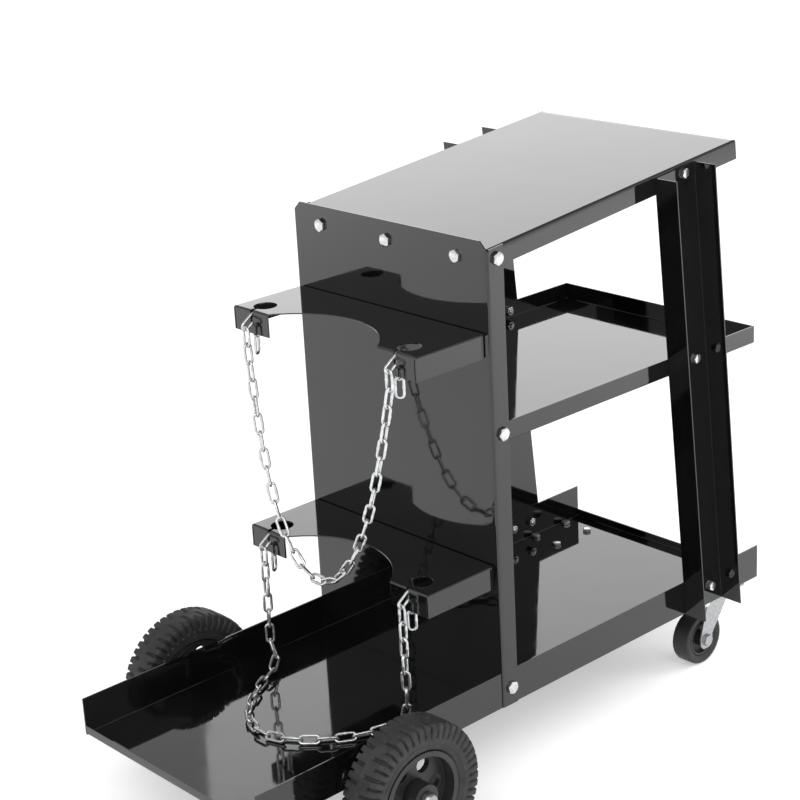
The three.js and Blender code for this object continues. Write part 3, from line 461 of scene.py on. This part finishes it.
def side_bolts(side, sign):
    inward = (-sign, 0, 0)
    bolts = [(f"{side}_{place}_bolt", M8, inward) for place in ("top", "mid", "base")]
    for place in ("top_bolt", "mid_bolt", "base_bolt_front", "base_bolt_rear"):
        bolts.append((f"{side}_upright_{place}", M6, inward))
    for level in ("upper", "lower"):
        bolts.append((f"{level}_bracket_bolt_{side}", M6, FORWARD))
    for place in ("rear_inner", "rear_outer", "front_inner", "front_outer"):
        bolts.append((f"{side}_caster_bolt_{place}", M6, DOWNWARD))
    return bolts


turn = FIRST_TURN
for place in ("left", "middle", "right"):
    place_bolt(f"panel_bolt_{place}", M8, FORWARD, turn)
    turn += PANEL_TURN_STEP
for side, sign in SIDES:
    for node, size, direction in side_bolts(side, sign):
        turn += TURN_STEP
        place_bolt(node, size, direction, turn)


# Chains

# One link about its own centre: length along Y, lying in XY, with its weld swelling on one side
def link_template():
    path, tangents, swell = [], [], []
    for end in (1, -1):
        for k in range(BOW_STEPS + 1):
            angle = math.pi * k / BOW_STEPS
            path.append((end * BOW * math.cos(angle), end * (STRAIGHT + BOW * math.sin(angle)), 0.0))
            tangents.append((-end * math.sin(angle), end * math.cos(angle), 0.0))
            swell.append(1.0)
        for along in (WELD_EDGE, WELD_CROWN, -WELD_CROWN, -WELD_EDGE):
            path.append((-end * BOW, end * along, 0.0))
            tangents.append((0.0, -end, 0.0))
            swell.append(WELD_SWELL if end > 0 and abs(along) < WELD_EDGE else 1.0)
    path, tangents = np.array(path), np.array(tangents)
    outward = np.cross(tangents, Z_AXIS)
    rings = []
    for k in range(WIRE_STEPS):
        angle = 2 * math.pi * k / WIRE_STEPS
        offset = math.cos(angle) * outward + math.sin(angle) * Z_AXIS
        rings.append(path + (WIRE / 2) * np.array(swell)[:, None] * offset)
    return np.stack(rings, 1).reshape(-1, 3), grid_faces(len(path), WIRE_STEPS, True, True)


LINK_POINTS, LINK_FACES = link_template()


def turned(v, axis, angle):
    return (v * math.cos(angle) + np.cross(axis, v) * math.sin(angle)
            + axis * np.dot(axis, v) * (1 - math.cos(angle)))


def placed_link(centre, along, normal):
    across = unit(np.cross(along, normal))
    face = unit(np.cross(across, along))
    return LINK_POINTS @ np.stack([across, along, face]) + centre


# Every link stands a quarter turn from the one before; the first is turned already.
def link_run(points, normal, twist):
    count = len(points) - 1
    out = []
    for i in range(count):
        centre = (points[i] + points[i + 1]) / 2
        along = unit(points[i + 1] - points[i])
        angle = (i + 1) * math.pi / 2 + twist(i / (count - 1))
        out.append(placed_link(centre, along, turned(normal(along), along, angle)))
    return out


def chain_piece(name, links, node, body):
    vertices, faces = [], []
    for points in links:
        start = len(vertices) * len(LINK_POINTS)
        vertices.append(points)
        faces += [tuple(start + i for i in face) for face in LINK_FACES]
    vertices = (np.concatenate(vertices) - np.array([0.0, CENTRE_SHIFT, 0.0])) * MM
    piece(name, new_mesh(name, vertices, faces, CHAIN_ZINC), body, node)


# Links that stay in a slot: one through it, two as the loose tail, and the one that the chain hangs from
def end_links(side, sign, top):
    x = sign * KEYHOLE_X
    along = np.array([0.0, -math.cos(END_SLANT), -math.sin(END_SLANT)])
    in_slot = np.array([x, -BRACKET_DEPTH + SHEET / 2, top - END_DROP]) + along * END_REACH
    tail_y = -BRACKET_DEPTH + SHEET + TAIL_SETBACK
    lower_wire = in_slot + BOW * np.array([0.0, math.sin(END_SLANT), -math.cos(END_SLANT)])
    lower_wire = lower_wire + along * (lower_wire[1] - tail_y) / math.cos(END_SLANT)
    wire_top = WIRE / 2 / math.cos(END_SLANT) - LINK_BITE
    tail = lower_wire + DOWN * (LINK_LENGTH / 2 - wire_top)
    last_tail = tail + DOWN * PITCH
    bow_to_bow = LINK_LENGTH + WIRE
    hinge_link = (in_slot + along * (LINK_LENGTH - LINK_WIDTH) / 2
                  + DOWN * ((LINK_WIDTH - WIRE) / 2 + LINK_BITE + bow_to_bow / 2))
    hinge = hinge_link + DOWN * bow_to_bow / 2
    links = [
        placed_link(in_slot, along, X_AXIS),
        placed_link(tail, DOWN, Y_AXIS),
        placed_link(last_tail, DOWN, turned(X_AXIS, Z_AXIS, TAIL_TURN[side])),
        placed_link(hinge_link, DOWN, Y_AXIS),
    ]
    first = hinge + Z_AXIS * (WIRE / 2 + RUNNING + LINK_BITE / 2)
    return links, hinge, first


# The value up to a limit at which a test stops being true
def halved(test, limit):
    low, high = 0.0, limit
    for _ in range(HALVINGS):
        middle = (low + high) / 2
        if test(middle):
            low = middle
        else:
            high = middle
    return high


def hanging_points(start, stop, count):
    steps = np.arange(count) - (count - 1) / 2
    span = stop[0] - start[0]
    pull = halved(lambda q: (PITCH / np.hypot(1, steps * q)).sum() > span, float(count))
    moves = np.stack([np.ones(count), np.zeros(count), steps * pull], 1)
    moves *= (PITCH / np.hypot(1, steps * pull))[:, None]
    return np.concatenate([[start], start + np.cumsum(moves, 0)])


# Centripetal Catmull-Rom curve through points
def smooth_curve(points, count):
    points = [np.array(p) for p in points]
    padded = [2 * points[0] - points[1], *points, 2 * points[-1] - points[-2]]
    out = []
    for d in range(count + 1):
        p = (len(points) - 1) * d / count
        k = min(int(p), len(points) - 2)
        t = p - k
        p0, p1, p2, p3 = padded[k:k + 4]
        a, b, c = (math.sqrt(np.linalg.norm(v)) for v in (p1 - p0, p2 - p1, p3 - p2))
        t1 = b * ((p1 - p0) / a - (p2 - p0) / (a + b) + (p2 - p1) / b)
        t2 = b * ((p2 - p1) / b - (p3 - p1) / (b + c) + (p3 - p2) / c)
        square = 3 * (p2 - p1) - 2 * t1 - t2
        cube = 2 * (p1 - p2) + t1 + t2
        out.append(p1 + t1 * t + square * t ** 2 + cube * t ** 3)
    return np.array(out)


# Straight down at both sides, and between them one bow on the platform
def floor_route(start, stop, floor, bulge):
    bow = []
    for k in range(FLOOR_POINTS):
        t = (k + 1) / (FLOOR_POINTS + 1)
        x = start[0] + FLOOR_TURN / 2 + (stop[0] - start[0] - FLOOR_TURN) * t
        bow.append((x, start[1] - bulge * math.sin(math.pi * t) ** FLOOR_FULLNESS, floor))

    def strand(p, inward):
        x, y, z = p
        return [(x, y, z), (x, y, (z + floor) / 2), (x, y, floor + FLOOR_TURN),
                (x + inward * FLOOR_TOUCH, y, floor + FLOOR_TOUCH)]

    return smooth_curve(strand(start, 1) + bow + strand(stop, -1)[::-1], ROUTE_STEPS)


def paced(curve):
    points = [curve[0]]
    for p in curve:
        away = p - points[-1]
        if np.linalg.norm(away) >= PITCH:
            points.append(points[-1] + unit(away) * PITCH)
    return np.array(points)


def upper_route(start, stop, hinge):
    points = hanging_points(start, stop, HANGING_LINKS)
    return np.array([turned(p - hinge, X_AXIS, -CHAIN_SWING) + hinge for p in points])


def lower_route(start, stop, _):
    floor = FLOOR_TOP + RUNNING + BOW / math.sqrt(2) + WIRE / 2
    shortest = running_length(floor_route(start, stop, floor, 0.0))[-1] / PITCH
    count = 2 * math.ceil((shortest + FLOOR_SLACK) / 2) + 1

    def too_short(bulge):
        points = paced(floor_route(start, stop, floor, bulge))
        return (count - (len(points) - 1)) * PITCH - np.linalg.norm(points[-1] - stop) > 0

    bulge = halved(too_short, stop[0] - start[0])
    return paced(floor_route(start, stop, floor, bulge))[:count + 1]


def build_chain(level, top, route, normal, twist):
    ends = [end_links(side, sign, top) for side, sign in SIDES]
    for (side, _), (links, _, _) in zip(SIDES, ends):
        chain_piece(f"{level}_chain_{side}_end_links", links, f"{level}_chain_{side}_end", "cart")
    points = route(ends[0][2], ends[1][2], ends[0][1])
    links = link_run(points, normal, twist)
    chain_piece(f"{level}_chain_links", links, f"{level}_chain", f"{level}_chain")


build_chain("upper", UPPER_BRACKET_TOP, upper_route, lambda along: Y_AXIS,
            lambda t: CHAIN_TWIST * math.sin(math.pi * t))
build_chain("lower", LOWER_BRACKET_TOP, lower_route,
            lambda along: Y_AXIS if abs(along[2]) > STEEP else Z_AXIS,
            lambda t: CHAIN_TWIST * min(1.0, FLOOR_TWIST_RATE * min(t, 1 - t)))


# Rear tyres: a fine grid whose tread carries staggered cross grooves that run over the shoulders

# A corner in a profile is rounded by a short arc.
def rounded(corners, radius, steps):
    out = []
    points = [np.array(c, float) for c in corners]
    for i, here in enumerate(points):
        if i in (0, len(points) - 1):
            out.append(tuple(here))
            continue
        back, ahead = points[i - 1] - here, points[i + 1] - here
        reach = min(radius, ARC_SHARE * np.linalg.norm(back), ARC_SHARE * np.linalg.norm(ahead))
        start, stop = here + unit(back) * reach, here + unit(ahead) * reach
        for k in range(steps + 1):
            t = k / steps
            out.append(tuple((1 - t) ** 2 * start + 2 * t * (1 - t) * here + t ** 2 * stop))
    return out


# Evenly spaced points round the section without its tread: radius, distance from the middle
def tyre_section():
    half = [
        (TYRE_BEAD, TYRE_HALF - BEAD_INSET),
        (TYRE_BEAD + LIP_HEIGHT, TYRE_HALF - LIP_INSET),
        (TYRE_BEAD + FLANK_HEIGHT, TYRE_HALF - FLANK_INSET),
        (WHEEL_RADIUS - WIDEST_DROP, TYRE_HALF),
        (WHEEL_RADIUS - CROWN_DROP, TYRE_HALF - CROWN_INSET),
    ]
    other_half = [(radius, -x) for radius, x in half]
    corners = [*other_half, (WHEEL_RADIUS, 0.0), *half[::-1]]
    points = np.array(rounded(corners, SECTION_ROUNDING, SECTION_ARC_STEPS))
    lengths = running_length(points)
    even = np.linspace(0, lengths[-1], SECTION_STEPS)
    return np.stack([np.interp(even, lengths, points[:, k]) for k in (0, 1)], 1)


def soft_step(value, width):
    t = np.clip(value / width + 0.5, 0, 1)
    return t ** 2 * (3 - 2 * t)


# How deep the tread is cut, from 0 to 1, at each point of the section and each angle
def groove_depth(run, angles):
    pitch = 2 * math.pi * WHEEL_RADIUS / TREAD_PITCHES
    turns = angles[None, :] / (2 * math.pi) * TREAD_PITCHES
    depth = np.zeros((len(run), len(angles)))
    for half, offset in ((1, 0.0), (-1, TREAD_STAGGER)):
        across = half * run[:, None]
        slant = GROOVE_SLANT * across / pitch
        for place, inner, width in GROOVES:
            local = (np.mod(turns + offset + place + slant + 0.5, 1.0) - 0.5) * pitch
            groove = soft_step(width / 2 - np.abs(local), GROOVE_WALL)
            groove = groove * soft_step(across - inner, GROOVE_END)
            groove = groove * soft_step(SHOULDER - across, GROOVE_FADE)
            depth = np.maximum(depth, groove)
    return depth


def build_tyre(side, sign):
    section = tyre_section()
    normal = np.stack([np.gradient(section[:, 1]), -np.gradient(section[:, 0])], 1)
    normal /= np.linalg.norm(normal, axis=1)[:, None]
    run = running_length(section)
    run -= run[-1] / 2
    angles = np.linspace(0, 2 * math.pi, TYRE_STEPS, endpoint=False)
    past_shoulder = np.abs(run) - SHOULDER
    ridge = RIDGE_HEIGHT * sum(soft_step(RIDGE_HALF - np.abs(past_shoulder - place), RIDGE_WALL)
                               for place in RIDGES)
    lift = ridge[:, None] - TREAD_DEPTH * groove_depth(run, angles)
    radius = section[:, 0][:, None] + normal[:, 0][:, None] * lift
    x = section[:, 1][:, None] + normal[:, 1][:, None] * lift
    radius = np.minimum(radius, WHEEL_RADIUS)
    vertices = np.stack([sign * x, radius * np.cos(angles), radius * np.sin(angles)], 2)
    centre = np.array([sign * WHEEL_TRACK / 2, AXLE_Y, AXLE_Z])
    vertices = (vertices.reshape(-1, 3) + centre) * MM
    faces = grid_faces(len(section), TYRE_STEPS, True, True)
    if sign > 0:
        faces = flipped(faces)
    name = f"{side}_rear_tyre_tread"
    mesh = new_mesh(name, vertices, faces, TYRE_RUBBER)
    piece(name, mesh, f"{side}_wheel", f"{side}_rear_tyre")


for side, sign in SIDES:
    build_tyre(side, sign)


# Stage: a pale floor that stays white where no shadow falls, white walls and soft lamps, in metres

def seen_directly(tree):
    path = tree.nodes.new("ShaderNodeLightPath")
    total = path.outputs["Is Camera Ray"]
    for name in ("Is Glossy Ray", "Is Transmission Ray"):
        node = tree.nodes.new("ShaderNodeMath")
        node.operation = "MAXIMUM"
        tree.links.new(total, node.inputs[0])
        tree.links.new(path.outputs[name], node.inputs[1])
        total = node.outputs["Value"]
    return total


def pale_floor():
    mesh = bpy.data.meshes.new("pale_floor")
    r = FLOOR_REACH
    mesh.from_pydata([(-r, -r, 0), (r, -r, 0), (r, r, 0), (-r, r, 0)], [], [(0, 1, 2, 3)])
    floor = bpy.data.objects.new("pale_floor", mesh)
    bpy.context.scene.collection.objects.link(floor)
    material, shader = new_material("pale_floor", FLOOR_COLOR, FLOOR_ROUGHNESS)
    shader.inputs["Specular IOR Level"].default_value = 0.0
    shader.inputs["Emission Color"].default_value = WHITE
    tree = material.node_tree
    glow = remap(tree, seen_directly(tree), 0.0, 1.0, 0.0, FLOOR_GLOW)
    tree.links.new(glow, shader.inputs["Emission Strength"])
    mesh.materials.append(material)


def white_world():
    world = bpy.data.worlds.new("white_studio")
    bpy.context.scene.world = world
    world.use_nodes = True
    tree = world.node_tree
    background = tree.nodes["Background"]
    background.inputs["Color"].default_value = WHITE
    place = tree.nodes.new("ShaderNodeTexCoord")
    height = tree.nodes.new("ShaderNodeSeparateXYZ")
    tree.links.new(place.outputs["Generated"], height.inputs["Vector"])
    walls = remap(tree, height.outputs["Z"], WALL_TOP, CEILING_EDGE, 1.0, CEILING)
    strength = tree.nodes.new("ShaderNodeMix")
    strength.inputs["A"].default_value = AMBIENT
    tree.links.new(walls, strength.inputs["B"])
    tree.links.new(seen_directly(tree), strength.inputs["Factor"])
    tree.links.new(strength.outputs["Result"], background.inputs["Strength"])


def softbox(name, place, target, width, height, power, in_gloss):
    lamp = bpy.data.lights.new(name, "AREA")
    lamp.shape = "RECTANGLE"
    lamp.size = width
    lamp.size_y = height
    lamp.energy = power
    obj = bpy.data.objects.new(name, lamp)
    obj.location = place
    aim = Vector(target) - Vector(place)
    obj.rotation_euler = aim.to_track_quat("-Z", "Y").to_euler()
    obj.visible_camera = False
    obj.visible_glossy = in_gloss
    bpy.context.scene.collection.objects.link(obj)


pale_floor()
white_world()
softbox("back_softbox", place=(-2.45, 2.47, 1.8), target=(0.0, 0.0, 0.3),
        width=1.8, height=1.1, power=8.6, in_gloss=True)
softbox("key_softbox", place=(1.2, -2.2, 2.6), target=(0.0, 0.0, 0.3),
        width=1.6, height=1.6, power=30.0, in_gloss=True)
softbox("floor_softbox", place=(1.3, 2.0, 1.3), target=(1.25, 1.85, 0.0),
        width=1.2, height=1.2, power=30.0, in_gloss=False)
softbox("side_softbox", place=(2.2, -0.5, 2.4), target=(0.0, 0.15, 0.2),
        width=1.2, height=1.2, power=15.0, in_gloss=True)
softbox("rear_softbox", place=(-2.7, -1.6, 1.0), target=(-2.6, -1.6, 0.0),
        width=1.0, height=1.0, power=15.0, in_gloss=False)


# Camera

def set_camera():
    pitch, yaw, roll = (math.radians(a) for a in (CAMERA_PITCH, CAMERA_YAW, CAMERA_ROLL))
    ahead = Vector((-math.sin(yaw), math.cos(yaw), 0.0))
    right = Vector((math.cos(yaw), math.sin(yaw), 0.0))
    up = Vector((0.0, 0.0, 1.0))
    forward = math.cos(pitch) * ahead - math.sin(pitch) * up
    down = -(math.cos(pitch) * up + math.sin(pitch) * ahead)
    rolled_right = math.cos(roll) * right - math.sin(roll) * down
    rolled_down = math.sin(roll) * right + math.cos(roll) * down
    data = bpy.data.cameras.new("camera")
    data.sensor_width = SENSOR_WIDTH
    data.lens = FOCAL_LENGTH
    camera = bpy.data.objects.new("camera", data)
    axes = Matrix((rolled_right, -rolled_down, -forward)).transposed().to_4x4()
    camera.matrix_world = Matrix.Translation(CAMERA_PLACE) @ axes
    bpy.context.scene.collection.objects.link(camera)
    bpy.context.scene.camera = camera


set_camera()
bpy.context.scene.view_settings.view_transform = "Standard"
